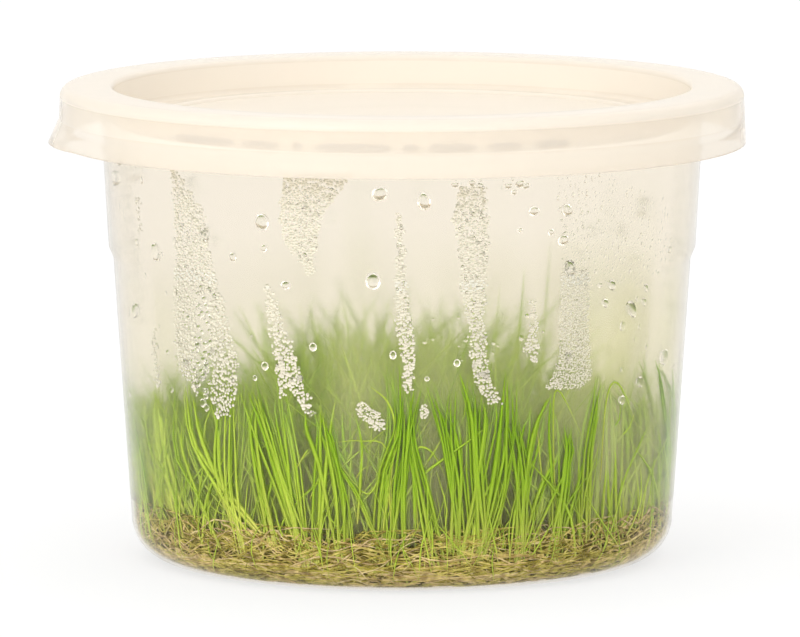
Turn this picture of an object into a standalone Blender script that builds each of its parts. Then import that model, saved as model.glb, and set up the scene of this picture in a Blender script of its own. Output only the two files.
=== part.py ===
"""Dwarf hairgrass grown in a clear plastic culture tub with a press-on lid.

Metres, +Z up. The origin is the middle of the tub's underside, on its axis.
"""
import math
import random

import bmesh
import bpy

# Driving dimensions of the tub
LID_RADIUS = 0.0590
OVERALL_HEIGHT = 0.0814
TUB_WALL = 0.0006
TUB_FLOOR = 0.0006
CORNER_RADIUS = 0.0069
FOOT_RADIUS = 0.0466
COLLAR_STEP = 0.0008
COLLAR_FOOT_Z = 0.0518
COLLAR_TOP_Z = 0.0538
COLLAR_RADIUS = 0.0504
NECK_RADIUS = 0.0519
LIP_RADIUS = 0.0576
LIP_DEPTH = 0.0047
RIM_ROUND = 0.0010

# Driving dimensions of the lid
LID_WALL = 0.0009
SKIRT_DEPTH = 0.0097
SKIRT_FLARE = 0.0003
LID_EDGE_ROUND = 0.0018
RECESS_DEPTH = 0.0058
RECESS_RADIUS = 0.0495
RECESS_ROUND = 0.0009
STACKING_RING_RADIUS = 0.0430
STACKING_RING_RISE = 0.0006
STACKING_RING_WIDTH = 0.0016
CATCH_BEAD = 0.0010
TAB_REACH = 0.0017
TAB_DEPTH = 0.0042
TAB_HALF_ANGLE = math.radians(19)

# Driving dimensions of the plant
MAT_TOP = 0.0095
MAT_EDGE_ROUND = 0.0015
# Name, how many tufts, distance from the axis, lowest and highest tip above the table
TUFT_RINGS = (
    ("outer", 14, 0.0385, 0.0330, 0.0410),
    ("middle", 9, 0.0240, 0.0360, 0.0480),
    ("inner", 4, 0.0105, 0.0390, 0.0490),
)
TUFT_WANDER = 0.0008
BLADES_PER_TUFT = 10
BLADE_LEAN = math.radians(7)

# A tuft's form: SPREAD is a share of the way to the edge of its cell, LEVEL of the way up
FOOT_SPREAD = 0.66
WAIST_SPREAD = 0.80
WAIST_LEVEL = 0.28
FLUTE = 0.28
CLEFT_SPREAD = 0.48
CLEFT_LEVELS = (0.40, 0.52)
TIP_SPREADS = (0.62, 0.97)
TIP_LEVELS = (0.74, 1.0)
HOLLOW_SPREAD = 0.28
HOLLOW_LEVEL = 0.46

# The space kept between two pieces that touch
GAP = 0.0003
TURN_STEPS = 48
SEED = 11


def clear_scene():
    """Empties the scene, so that the script gives the same model on each run."""
    for item in list(bpy.data.objects):
        bpy.data.objects.remove(item, do_unlink=True)


def make_collection(name):
    """Returns a new collection, linked to the scene."""
    collection = bpy.data.collections.new(name)
    bpy.context.scene.collection.children.link(collection)
    return collection


def make_material(name, colour, roughness, alpha=1.0):
    """Returns a plain Principled material."""
    material = bpy.data.materials.new(name)
    material.use_nodes = True
    shader = material.node_tree.nodes["Principled BSDF"]
    shader.inputs["Base Color"].default_value = (*colour, 1.0)
    shader.inputs["Roughness"].default_value = roughness
    shader.inputs["Metallic"].default_value = 0.0
    shader.inputs["Alpha"].default_value = alpha
    return material


def shade_round(mesh, sharp_degrees=35):
    """Shades the curved faces smooth and keeps the real edges sharp."""
    mesh.shade_smooth()
    mesh.set_sharp_from_angle(angle=math.radians(sharp_degrees))


def arc(centre, radius, start_degrees, end_degrees, steps):
    """Returns the points of a round corner in a profile, both ends included."""
    points = []
    for index in range(steps + 1):
        angle = math.radians(start_degrees + (end_degrees - start_degrees) * index / steps)
        points.append((centre[0] + radius * math.cos(angle), centre[1] + radius * math.sin(angle)))
    return points


def turned(name, profile, material, collection):
    """Makes a turned piece from a profile of (radius, height) that runs down its outer side."""
    mesh = bpy.data.meshes.new(name)
    edges = [(index, index + 1) for index in range(len(profile) - 1)]
    mesh.from_pydata([(radius, 0.0, height) for radius, height in profile], edges, [])
    piece = bpy.data.objects.new(name, mesh)
    collection.objects.link(piece)
    screw = piece.modifiers.new("turn", "SCREW")
    screw.axis = "Z"
    screw.angle = math.tau
    screw.steps = TURN_STEPS
    screw.render_steps = TURN_STEPS
    screw.use_merge_vertices = True
    screw.merge_threshold = 0.00001
    mesh.materials.append(material)
    return piece


def made_solid(piece):
    """Applies the modifiers of a turned piece, so that its points can be moved."""
    bpy.context.view_layer.update()
    evaluated = piece.evaluated_get(bpy.context.evaluated_depsgraph_get())
    mesh = bpy.data.meshes.new_from_object(evaluated)
    piece.modifiers.clear()
    piece.data = mesh
    return piece


# The tub: a thin moulded wall, flat base, a small stacking collar and a rim with a turned-down lip

def tub_outer_radius(height):
    """Returns the radius of the outside of the tub's wall at this height above the table."""
    stations = (
        (CORNER_RADIUS, FOOT_RADIUS),
        (COLLAR_FOOT_Z, COLLAR_RADIUS - COLLAR_STEP),
        (COLLAR_TOP_Z, COLLAR_RADIUS),
        (rim_top(), NECK_RADIUS),
    )
    if height <= CORNER_RADIUS:
        drop = CORNER_RADIUS - height
        return FOOT_RADIUS - CORNER_RADIUS + math.sqrt(max(CORNER_RADIUS**2 - drop**2, 0.0))
    for (low, radius_low), (high, radius_high) in zip(stations, stations[1:]):
        if height <= high:
            return radius_low + (radius_high - radius_low) * (height - low) / (high - low)
    return NECK_RADIUS


def rim_top():
    """Returns the height of the tub's rim, which carries the lid."""
    return OVERALL_HEIGHT - LID_WALL - GAP


def make_tub(collection):
    """Makes the tub as one thin-walled turned piece."""
    material = make_material("tub_plastic", (0.93, 0.90, 0.83), 0.35, 0.35)
    corner = (FOOT_RADIUS - CORNER_RADIUS, CORNER_RADIUS)
    top = rim_top()
    lip_foot = top - LIP_DEPTH
    wall_heights = (COLLAR_FOOT_Z, COLLAR_TOP_Z)

    inside = [(0.0, TUB_FLOOR)]
    inside += arc(corner, CORNER_RADIUS - TUB_FLOOR, -90, 0, 4)
    inside += [(tub_outer_radius(height) - TUB_WALL, height) for height in wall_heights]

    rim = [(NECK_RADIUS - TUB_WALL, top)]
    rim += arc((LIP_RADIUS - RIM_ROUND, top - RIM_ROUND), RIM_ROUND, 90, 0, 3)
    rim += [(LIP_RADIUS, lip_foot), (LIP_RADIUS - TUB_WALL, lip_foot)]
    rim += [(LIP_RADIUS - TUB_WALL, top - TUB_WALL), (NECK_RADIUS, top - TUB_WALL)]

    outside = [(tub_outer_radius(height), height) for height in reversed(wall_heights)]
    outside += arc(corner, CORNER_RADIUS, 0, -90, 5)
    outside += [(0.0, 0.0)]

    tub = turned("tub", inside + rim + outside, material, collection)
    shade_round(made_solid(tub).data)


# The lid: a band over the tub's rim, a recessed panel inside it, and a skirt with a pull tab

def make_lid(collection):
    """Makes the lid as a turned piece, then draws its skirt out into the pull tab."""
    material = make_material("lid_plastic", (0.96, 0.93, 0.87), 0.35, 0.5)
    top = OVERALL_HEIGHT
    foot = top - SKIRT_DEPTH
    panel = top - RECESS_DEPTH
    crown = LID_RADIUS - SKIRT_FLARE
    ring_out = STACKING_RING_RADIUS + STACKING_RING_WIDTH / 2
    ring_in = STACKING_RING_RADIUS - STACKING_RING_WIDTH / 2
    inner_foot = LID_RADIUS - LID_WALL
    bead_z = rim_top() - LIP_DEPTH - GAP - CATCH_BEAD
    edge = (crown - LID_EDGE_ROUND, top - LID_EDGE_ROUND)
    plug = RECESS_RADIUS + LID_WALL
    plug_round = RECESS_ROUND + LID_WALL
    plug_foot = panel - LID_WALL

    above = [(0.0, panel), (ring_in, panel), (STACKING_RING_RADIUS, panel + STACKING_RING_RISE)]
    above += [(ring_out, panel)]
    above += arc((RECESS_RADIUS - RECESS_ROUND, panel + RECESS_ROUND), RECESS_ROUND, -90, 0, 2)
    above += arc((RECESS_RADIUS + RECESS_ROUND, top - RECESS_ROUND), RECESS_ROUND, 180, 90, 2)
    above += arc(edge, LID_EDGE_ROUND, 90, 0, 3)
    skirt = [(LID_RADIUS - SKIRT_FLARE / 2, foot + TAB_DEPTH), (LID_RADIUS, foot), (inner_foot, foot)]
    skirt += [(inner_foot, bead_z - CATCH_BEAD), (inner_foot - CATCH_BEAD / 2, bead_z)]
    skirt += [(inner_foot, bead_z + CATCH_BEAD)]
    below = arc(edge, LID_EDGE_ROUND - LID_WALL, 0, 90, 2)
    below += [(plug, top - LID_WALL)]
    below += arc((plug - plug_round, plug_foot + plug_round), plug_round, 0, -90, 2)
    below += [(0.0, plug_foot)]

    lid = turned("lid", above + skirt + below, material, collection)
    mesh = made_solid(lid).data
    for vertex in mesh.vertices:
        x, y, z = vertex.co
        radius = math.hypot(x, y)
        off_tab = abs(math.atan2(y, -x)) / TAB_HALF_ANGLE
        on_foot_edge = radius > LID_RADIUS - LID_WALL / 2 and z < foot + TAB_DEPTH / 2
        if on_foot_edge and off_tab < 1:
            reach = TAB_REACH * math.sqrt(math.cos(off_tab * math.pi / 2))
            vertex.co.x *= 1 + reach / radius
            vertex.co.y *= 1 + reach / radius
    shade_round(mesh)


# The root mat: a round felt of roots and runners that fills the foot of the tub

def make_root_mat(collection):
    """Makes the mat as a disc that follows the inside of the tub's foot."""
    material = make_material("root_felt", (0.36, 0.31, 0.11), 0.9)
    wall = TUB_WALL + GAP
    foot_z = TUB_FLOOR + GAP
    corner = (FOOT_RADIUS - CORNER_RADIUS, CORNER_RADIUS)
    edge_z = MAT_TOP - MAT_EDGE_ROUND
    edge_r = tub_outer_radius(edge_z) - wall
    profile = [(0.0, MAT_TOP), (edge_r / 2, MAT_TOP)]
    profile += arc((edge_r - MAT_EDGE_ROUND, edge_z), MAT_EDGE_ROUND, 90, 0, 2)
    profile += arc(corner, CORNER_RADIUS - foot_z, 0, -90, 4)
    profile += [(0.0, foot_z)]
    mat = turned("root_mat", profile, material, collection)
    shade_round(made_solid(mat).data)


# The grass: sheaves of blades, each in its own cell of the mat so that no two touch

def tuft_places(draw):
    """Returns a name, a place and a tip height for each tuft, ring by ring."""
    places = []
    for ring, (name, count, distance, lowest, highest) in enumerate(TUFT_RINGS):
        for index in range(count):
            turn = (index + 0.5 * (ring % 2) + draw.uniform(-0.12, 0.12)) * math.tau / count
            radius = distance + draw.uniform(-TUFT_WANDER, TUFT_WANDER)
            height = draw.uniform(lowest, highest)
            place = (radius * math.cos(turn), radius * math.sin(turn))
            places.append((f"tuft_{name}_{index + 1:02d}", place, height))
    return places


def reach_in_cell(place, others, direction, height):
    """Returns how far a tuft can spread this way and stay clear of its neighbours and the tub."""
    across = (math.cos(direction), math.sin(direction))
    limit = math.inf
    for other in others:
        offset = (other[0] - place[0], other[1] - place[1])
        distance = math.hypot(*offset)
        towards = (offset[0] * across[0] + offset[1] * across[1]) / distance
        if towards > 0:
            limit = min(limit, (distance - GAP) / 2 / towards)
    wall = tub_outer_radius(height) - TUB_WALL - GAP * 2
    outward = place[0] * across[0] + place[1] * across[1]
    inside = wall**2 - place[0] ** 2 - place[1] ** 2
    return min(limit, math.sqrt(outward**2 + inside) - outward)


def make_tuft(name, place, others, height, material, collection, draw):
    """Makes one sheaf: it widens upwards from the mat and parts into pointed blades."""
    base = MAT_TOP + GAP
    tall = height - base
    shape = bmesh.new()

    def point(direction, spread, level):
        """Adds a point that lies this share of the way to the cell's edge and to the tallest tip."""
        reach = reach_in_cell(place, others, direction, base) * spread
        x, y = reach * math.cos(direction), reach * math.sin(direction)
        return shape.verts.new((x, y, tall * level))

    foot, waist, crown, hollow = [], [], [], []
    sides = BLADES_PER_TUFT * 2
    for side in range(sides):
        direction = math.tau * side / sides
        between_blades = side % 2
        flute = 1 - FLUTE * between_blades
        foot.append(point(direction, FOOT_SPREAD * flute, 0.0))
        waist.append(point(direction, WAIST_SPREAD * flute, WAIST_LEVEL))
        if between_blades:
            crown.append(point(direction, CLEFT_SPREAD, draw.uniform(*CLEFT_LEVELS)))
        else:
            lean = draw.uniform(-BLADE_LEAN, BLADE_LEAN)
            crown.append(point(direction + lean, draw.uniform(*TIP_SPREADS), draw.uniform(*TIP_LEVELS)))
            hollow.append(point(direction, HOLLOW_SPREAD, HOLLOW_LEVEL))
    heart = shape.verts.new((0.0, 0.0, tall))

    shape.faces.new(list(reversed(foot)))
    for lower, upper in ((foot, waist), (waist, crown)):
        for side in range(sides):
            after = (side + 1) % sides
            shape.faces.new((lower[side], lower[after], upper[after], upper[side]))
    for index in range(BLADES_PER_TUFT):
        after = (index + 1) % BLADES_PER_TUFT
        tip, cleft, next_tip = crown[index * 2], crown[index * 2 + 1], crown[after * 2]
        shape.faces.new((hollow[index], tip, cleft))
        shape.faces.new((hollow[index], cleft, hollow[after]))
        shape.faces.new((hollow[after], cleft, next_tip))
        shape.faces.new((hollow[index], hollow[after], heart))
    bmesh.ops.triangulate(shape, faces=shape.faces[:])
    mesh = bpy.data.meshes.new(name)
    shape.to_mesh(mesh)
    shape.free()
    mesh.materials.append(material)
    tuft = bpy.data.objects.new(name, mesh)
    tuft.location = (place[0], place[1], base)
    collection.objects.link(tuft)


def make_tufts(collection):
    """Makes all the tufts, from the tub's wall to its axis."""
    material = make_material("grass_blades", (0.30, 0.50, 0.05), 0.5)
    draw = random.Random(SEED)
    places = tuft_places(draw)
    for name, place, height in places:
        others = [other for _, other, _ in places if other is not place]
        make_tuft(name, place, others, height, material, collection, draw)


def main():
    """Builds the whole object."""
    clear_scene()
    collection = make_collection("dwarf_hairgrass")
    make_tub(collection)
    make_lid(collection)
    make_root_mat(collection)
    make_tufts(collection)


main()
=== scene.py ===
"""Dwarf hairgrass in its milky plastic culture tub: the looks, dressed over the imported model."""
import math
import random

import bmesh
import bpy
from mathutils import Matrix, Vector


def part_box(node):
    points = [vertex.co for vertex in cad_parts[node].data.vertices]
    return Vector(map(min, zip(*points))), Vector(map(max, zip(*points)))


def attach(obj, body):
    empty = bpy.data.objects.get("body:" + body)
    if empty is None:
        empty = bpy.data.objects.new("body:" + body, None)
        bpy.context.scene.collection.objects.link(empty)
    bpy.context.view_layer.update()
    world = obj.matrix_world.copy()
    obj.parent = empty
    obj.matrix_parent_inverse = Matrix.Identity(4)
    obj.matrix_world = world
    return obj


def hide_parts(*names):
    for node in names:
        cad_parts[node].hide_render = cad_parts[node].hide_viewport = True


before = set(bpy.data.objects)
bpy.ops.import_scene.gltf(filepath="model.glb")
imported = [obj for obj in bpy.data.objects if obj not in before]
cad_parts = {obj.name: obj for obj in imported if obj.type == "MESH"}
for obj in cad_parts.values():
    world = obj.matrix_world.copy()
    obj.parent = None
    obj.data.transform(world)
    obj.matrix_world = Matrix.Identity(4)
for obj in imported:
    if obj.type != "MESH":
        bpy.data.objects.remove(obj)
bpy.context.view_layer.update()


# Camera: a long lens a little above the table, looking along +Y at the tub's -Y side.
# Its place comes from the outline in the photograph, fitted with a lid 118 mm across.
CAMERA_DISTANCE = 1.5175
CAMERA_RISE = math.radians(7.457)
CAMERA_LENS = 396.8
CAMERA_SENSOR = 36.0
CAMERA_CLIP = (0.05, 50.0)
CAMERA_AIM = Vector((-0.00035, 0.0, 0.0409))

camera_data = bpy.data.cameras.new("camera")
camera_data.lens = CAMERA_LENS
camera_data.sensor_width = CAMERA_SENSOR
camera_data.clip_start, camera_data.clip_end = CAMERA_CLIP
camera = bpy.data.objects.new("camera", camera_data)
bpy.context.scene.collection.objects.link(camera)
away = Vector((0.0, -math.cos(CAMERA_RISE), math.sin(CAMERA_RISE)))
camera.location = CAMERA_AIM + away * CAMERA_DISTANCE
camera.rotation_euler = (-away).to_track_quat("-Z", "Y").to_euler()
bpy.context.scene.camera = camera


# Stage: a plain pale table top with a faint glow of its own, under the even light of a white studio
# tent. Four softboxes, at the left, in front, behind and above, light the plastic's edges.
FLOOR_SIZE = 8.0
FLOOR_COLOUR = (0.25, 0.25, 0.25, 1)
FLOOR_GLOW = 0.71
TENT_LIGHT = 1.06
WHITE = (1, 1, 1, 1)
LAMP_AIM = Vector((0, 0, 0.05))
# Name of each softbox, its place, its side in metres and its power in watts.
SOFTBOXES = (
    ("key_left", (-0.75, -1.05, 0.75), 0.7, 5.0),
    ("front", (0.45, -1.45, 0.60), 0.9, 4.0),
    ("back_right", (0.45, 0.9, 0.85), 0.6, 1.0),
    ("overhead", (-0.25, -0.10, 1.0), 0.35, 0.7),
)


def new_material(name, **values):
    """Starts a Principled material with these shader values, and returns it with its shader."""
    material = bpy.data.materials.new(name)
    material.use_nodes = True
    shader = material.node_tree.nodes["Principled BSDF"]
    for label, value in values.items():
        shader.inputs[label.replace("_", " ")].default_value = value
    return material, shader


def add_piece(name, mesh, *materials):
    """Puts a mesh that is already in place into the scene, with its materials."""
    piece = bpy.data.objects.new(name, mesh)
    bpy.context.scene.collection.objects.link(piece)
    for material in materials:
        mesh.materials.append(material)
    return piece


half = FLOOR_SIZE / 2
floor_corners = [(-half, -half, 0), (half, -half, 0), (half, half, 0), (-half, half, 0)]
floor_mesh = bpy.data.meshes.new("floor")
floor_mesh.from_pydata(floor_corners, [], [(0, 1, 2, 3)])
floor_paint, _ = new_material(
    "pale_table", Base_Color=FLOOR_COLOUR, Roughness=0.9, Specular_IOR_Level=0.1,
    Emission_Color=WHITE, Emission_Strength=FLOOR_GLOW,
)
floor = add_piece("floor", floor_mesh, floor_paint)

tent = bpy.data.worlds.new("tent")
tent.use_nodes = True
tent.node_tree.nodes["Background"].inputs["Color"].default_value = WHITE
tent.node_tree.nodes["Background"].inputs["Strength"].default_value = TENT_LIGHT
bpy.context.scene.world = tent

for name, place, size, power in SOFTBOXES:
    lamp = bpy.data.lights.new(name, "AREA")
    lamp.shape = "SQUARE"
    lamp.size = size
    lamp.energy = power
    stand = bpy.data.objects.new(name, lamp)
    stand.location = place
    stand.rotation_euler = (Vector(place) - LAMP_AIM).to_track_quat("Z", "Y").to_euler()
    bpy.context.scene.collection.objects.link(stand)
bpy.context.scene.view_settings.view_transform = "Standard"
# Light meets many walls of plastic and water on its way, so it may turn often.
bpy.context.scene.cycles.max_bounces = 18
bpy.context.scene.cycles.transmission_bounces = 18
bpy.context.scene.cycles.transparent_max_bounces = 16
bpy.context.scene.cycles.diffuse_bounces = 3
bpy.context.scene.cycles.glossy_bounces = 16


# Tub: a tapered cup of thin milky polypropylene, moulded in one piece, with a small stacking
# collar under the lid and a rim that turns outwards and down. It stands on its flat base. Its rim
# and its rounded foot are clearer than the wall between them.
TURN_STEPS = 192
TUB_WALL = 0.0004
TUB_FLOOR = 0.0004
CORNER_RADIUS = 0.0069
FOOT_RADIUS = 0.0466
COLLAR_FOOT_Z = 0.0518
COLLAR_TOP_Z = 0.0538
COLLAR_RADIUS = 0.0504
COLLAR_STEP = 0.0008
NECK_RADIUS = 0.0519
LIP_RADIUS = 0.0576
LIP_DEPTH = 0.0047
RIM_ROUND = 0.0010
FOOT_CLEAR_Z = 0.0105
RIM_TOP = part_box("tub")[1].z
SHARP_EDGE = math.radians(40)
# The mould's fine grain: scale, stretch and detail, then the strength and depth of its bump.
MOULD_GRAIN = (260.0, (1, 1, 0.35), 0.0)
MOULD_BUMP = (0.12, 0.0002)
GLOSS_ROUGHNESS = 0.12
LAMP_PASS = 0.95
# Tint, refraction, clearness, roughness and gloss of the wall, the rim and the foot.
TUB_PLASTICS = (
    ("milky_tub", (0.950, 0.910, 0.842), 1.14, 1.0, 0.16, 0.0),
    ("milky_rim", (0.980, 0.956, 0.912), 1.12, 0.94, 0.12, 0.0),
    ("milky_foot", (0.943, 0.902, 0.832), 1.14, 1.0, 0.06, 0.0),
)
RIM_PLASTIC, FOOT_PLASTIC = 1, 2


def around(reach, turn, height=0.0):
    """Returns the point at this distance from the axis, angle about it and height."""
    return Vector((reach * math.cos(turn), reach * math.sin(turn), height))


def arc(centre, radius, start_degrees, end_degrees, steps):
    """Returns the points of a round corner in a profile, both ends included."""
    points = []
    for index in range(steps + 1):
        angle = math.radians(start_degrees + (end_degrees - start_degrees) * index / steps)
        points.append((centre[0] + radius * math.cos(angle), centre[1] + radius * math.sin(angle)))
    return points


def finish_mesh(name, shape, sharp_edge):
    """Makes a smooth mesh of a built shape; edges that bend by more than this angle stay sharp."""
    mesh = bpy.data.meshes.new(name)
    shape.to_mesh(mesh)
    shape.free()
    mesh.shade_smooth()
    mesh.set_sharp_from_angle(angle=sharp_edge)
    return mesh


def turned_mesh(name, profile, ring=False):
    """Turns a profile of (radius, height), outside downwards, into a closed mesh; ring joins its ends."""
    shape = bmesh.new()
    rows = []
    for radius, height in profile:
        if radius == 0:
            rows.append([shape.verts.new((0, 0, height))] * TURN_STEPS)
            continue
        row = []
        for step in range(TURN_STEPS):
            row.append(shape.verts.new(around(radius, math.tau * step / TURN_STEPS, height)))
        rows.append(row)
    if ring:
        rows.append(rows[0])
    for upper, lower in zip(rows, rows[1:]):
        for step in range(TURN_STEPS):
            after = (step + 1) % TURN_STEPS
            corners = []
            for corner in (upper[step], lower[step], lower[after], upper[after]):
                if corner not in corners:
                    corners.append(corner)
            shape.faces.new(corners)
    return finish_mesh(name, shape, SHARP_EDGE)


def tub_outer_radius(height):
    """Returns the radius of the outside of the tub's wall at this height above the table."""
    stations = (
        (CORNER_RADIUS, FOOT_RADIUS),
        (COLLAR_FOOT_Z, COLLAR_RADIUS - COLLAR_STEP),
        (COLLAR_TOP_Z, COLLAR_RADIUS),
        (RIM_TOP, NECK_RADIUS),
    )
    if height <= CORNER_RADIUS:
        drop = CORNER_RADIUS - height
        return FOOT_RADIUS - CORNER_RADIUS + math.sqrt(max(CORNER_RADIUS**2 - drop**2, 0.0))
    for (low, radius_low), (high, radius_high) in zip(stations, stations[1:]):
        if height <= high:
            return radius_low + (radius_high - radius_low) * (height - low) / (high - low)
    return NECK_RADIUS


def tub_inner_radius(height):
    """Returns the radius of the inside of the tub's wall at this height."""
    return tub_outer_radius(height) - TUB_WALL


def join(material, *pairs):
    """Links these pairs of an output and an input socket."""
    for giver, taker in pairs:
        material.node_tree.links.new(giver, taker)


def grain(material, scale, stretch=(1, 1, 1), detail=3.0):
    """Adds a noise on object coordinates, stretched by these factors, and returns its value socket."""
    nodes = material.node_tree.nodes
    place = nodes.new("ShaderNodeTexCoord")
    turn = nodes.new("ShaderNodeMapping")
    turn.inputs["Scale"].default_value = stretch
    noise = nodes.new("ShaderNodeTexNoise")
    noise.inputs["Scale"].default_value = scale
    noise.inputs["Detail"].default_value = detail
    join(
        material,
        (place.outputs["Object"], turn.inputs["Vector"]),
        (turn.outputs["Vector"], noise.inputs["Vector"]),
    )
    return noise.outputs["Fac"]


def roughen(material, height, strength, distance):
    """Gives the shader a bump from a height socket."""
    bump = material.node_tree.nodes.new("ShaderNodeBump")
    bump.inputs["Strength"].default_value = strength
    bump.inputs["Distance"].default_value = distance
    shader = material.node_tree.nodes["Principled BSDF"]
    join(material, (height, bump.inputs["Height"]), (bump.outputs["Normal"], shader.inputs["Normal"]))


def milky_plastic(name, tint, bend, clearness, roughness, gloss):
    """Makes milky polypropylene: rough see-through plastic with a cream veil, which lets lamps in."""
    material, shader = new_material(
        name, Base_Color=(*tint, 1), IOR=bend, Transmission_Weight=clearness, Roughness=roughness,
        Coat_Weight=gloss, Coat_Roughness=GLOSS_ROUGHNESS,
    )
    roughen(material, grain(material, *MOULD_GRAIN), *MOULD_BUMP)
    nodes = material.node_tree.nodes
    ray = nodes.new("ShaderNodeLightPath")
    lamp_window = nodes.new("ShaderNodeBsdfTransparent")
    lamp_window.inputs["Color"].default_value = (*[LAMP_PASS * part for part in tint], 1)
    mix = nodes.new("ShaderNodeMixShader")
    join(
        material,
        (ray.outputs["Is Shadow Ray"], mix.inputs["Fac"]),
        (shader.outputs["BSDF"], mix.inputs[1]),
        (lamp_window.outputs["BSDF"], mix.inputs[2]),
        (mix.outputs["Shader"], nodes["Material Output"].inputs["Surface"]),
    )
    return material


corner = (FOOT_RADIUS - CORNER_RADIUS, CORNER_RADIUS)
wall_heights = (FOOT_CLEAR_Z, 0.020, 0.036, COLLAR_FOOT_Z, COLLAR_TOP_Z, 0.064, 0.072)
lip_foot = RIM_TOP - LIP_DEPTH
tub_profile = [(0.0, TUB_FLOOR)]
tub_profile += arc(corner, CORNER_RADIUS - TUB_FLOOR, -90, 0, 8)
tub_profile += [(tub_inner_radius(height), height) for height in wall_heights]
tub_profile += [(NECK_RADIUS - TUB_WALL, RIM_TOP)]
tub_profile += arc((LIP_RADIUS - RIM_ROUND, RIM_TOP - RIM_ROUND), RIM_ROUND, 90, 0, 6)
tub_profile += [(LIP_RADIUS, lip_foot), (LIP_RADIUS - TUB_WALL, lip_foot)]
tub_profile += [(LIP_RADIUS - TUB_WALL, RIM_TOP - TUB_WALL), (NECK_RADIUS, RIM_TOP - TUB_WALL)]
tub_profile += [(tub_outer_radius(height), height) for height in reversed(wall_heights)]
tub_profile += arc(corner, CORNER_RADIUS, 0, -90, 12)
tub_profile += [(0.0, 0.0)]
tub_mesh = turned_mesh("clear_tub", tub_profile)
tub = add_piece("clear_tub", tub_mesh, *[milky_plastic(*plastic) for plastic in TUB_PLASTICS])
for face in tub_mesh.polygons:
    if face.center.z > lip_foot:
        face.material_index = RIM_PLASTIC
    elif face.center.z < FOOT_CLEAR_Z:
        face.material_index = FOOT_PLASTIC
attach(tub, "root")
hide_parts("tub")


# Lid: a thin moulded cap of the same plastic, a little milkier, with a frosted panel and top ring.
# A band covers the tub's rim, a plug wall drops inside it to the recessed panel, and a skirt with a
# pull tab, which is easier to see through, grips it outside.
LID_RADIUS = 0.0590
LID_WALL = 0.0009
SKIRT_DEPTH = 0.0097
SKIRT_FLARE = 0.0003
LID_EDGE_ROUND = 0.0018
RECESS_DEPTH = 0.0058
RECESS_RADIUS = 0.0495
RECESS_ROUND = 0.0009
STACKING_RING_RADIUS = 0.0430
STACKING_RING_WIDTH = 0.0016
STACKING_RING_SINK = 0.0002
PANEL_MIDDLE_RADIUS = 0.020
CATCH_BEAD = 0.0010
TAB_REACH = 0.0017
TAB_DEPTH = 0.0042
TAB_HALF_ANGLE = math.radians(19)
LID_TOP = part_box("lid")[1].z
LID_FOOT = LID_TOP - SKIRT_DEPTH
PANEL_Z = LID_TOP - RECESS_DEPTH
GAP = 0.0003
# Tint, refraction, clearness, roughness and gloss of the skirt, the frosted panel and top ring, the foot of
# the skirt, and the plug wall. The skirt foot's darker tint is painted shade, and the plug wall's lighter
# tint is painted light that lifts the shade on the recess wall.
LID_PLASTICS = (
    ("milky_skirt", (0.930, 0.885, 0.815), 1.05, 0.64, 0.04, 0.25),
    ("frosted_lid", (0.862, 0.802, 0.712), 1.05, 0.32, 0.25, 0.20),
    ("skirt_foot", (0.880, 0.826, 0.745), 1.05, 0.64, 0.04, 0.25),
    ("plug_wall", (0.925, 0.872, 0.790), 1.05, 0.34, 0.25, 0.05),
)
FROSTED_PLASTIC, SKIRT_FOOT_SHADE_PLASTIC, PLUG_LIGHTENED_PLASTIC = 1, 2, 3


def push_out(vertex, distance):
    """Moves a vertex this far away from the axis."""
    radius = math.hypot(vertex.co.x, vertex.co.y)
    vertex.co.x *= 1 + distance / radius
    vertex.co.y *= 1 + distance / radius


crown = LID_RADIUS - SKIRT_FLARE
inner_foot = LID_RADIUS - LID_WALL
bead_z = lip_foot - GAP - CATCH_BEAD
edge = (crown - LID_EDGE_ROUND, LID_TOP - LID_EDGE_ROUND)
plug = RECESS_RADIUS + LID_WALL
plug_round = RECESS_ROUND + LID_WALL
plug_foot = PANEL_Z - LID_WALL
half_ring = STACKING_RING_WIDTH / 2
lid_profile = [(0.0, PANEL_Z), (PANEL_MIDDLE_RADIUS, PANEL_Z), (STACKING_RING_RADIUS - half_ring, PANEL_Z)]
lid_profile += arc((STACKING_RING_RADIUS, PANEL_Z - STACKING_RING_SINK), half_ring, 165, 15, 6)
lid_profile += [(STACKING_RING_RADIUS + half_ring, PANEL_Z)]
lid_profile += arc((RECESS_RADIUS - RECESS_ROUND, PANEL_Z + RECESS_ROUND), RECESS_ROUND, -90, 0, 5)
lid_profile += arc((RECESS_RADIUS + RECESS_ROUND, LID_TOP - RECESS_ROUND), RECESS_ROUND, 180, 90, 5)
lid_profile += arc(edge, LID_EDGE_ROUND, 90, 0, 8)
lid_profile += [(LID_RADIUS - SKIRT_FLARE / 2, LID_FOOT + TAB_DEPTH), (LID_RADIUS, LID_FOOT)]
lid_profile += [(inner_foot, LID_FOOT), (inner_foot, bead_z - CATCH_BEAD)]
lid_profile += [(inner_foot - CATCH_BEAD / 2, bead_z), (inner_foot, bead_z + CATCH_BEAD)]
lid_profile += arc(edge, LID_EDGE_ROUND - LID_WALL, 0, 90, 5)
lid_profile += [(plug, LID_TOP - LID_WALL)]
lid_profile += arc((plug - plug_round, plug_foot + plug_round), plug_round, 0, -90, 6)
lid_profile += [(0.0, plug_foot)]
lid_mesh = turned_mesh("clear_lid", lid_profile)
for vertex in lid_mesh.vertices:
    x, y, z = vertex.co
    off_tab = abs(math.atan2(y, -x)) / TAB_HALF_ANGLE
    if math.hypot(x, y) > LID_RADIUS - LID_WALL / 2 and z < LID_FOOT + TAB_DEPTH / 2 and off_tab < 1:
        push_out(vertex, TAB_REACH * math.sqrt(math.cos(off_tab * math.pi / 2)))
lid = add_piece("clear_lid", lid_mesh, *[milky_plastic(*plastic) for plastic in LID_PLASTICS])
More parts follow.
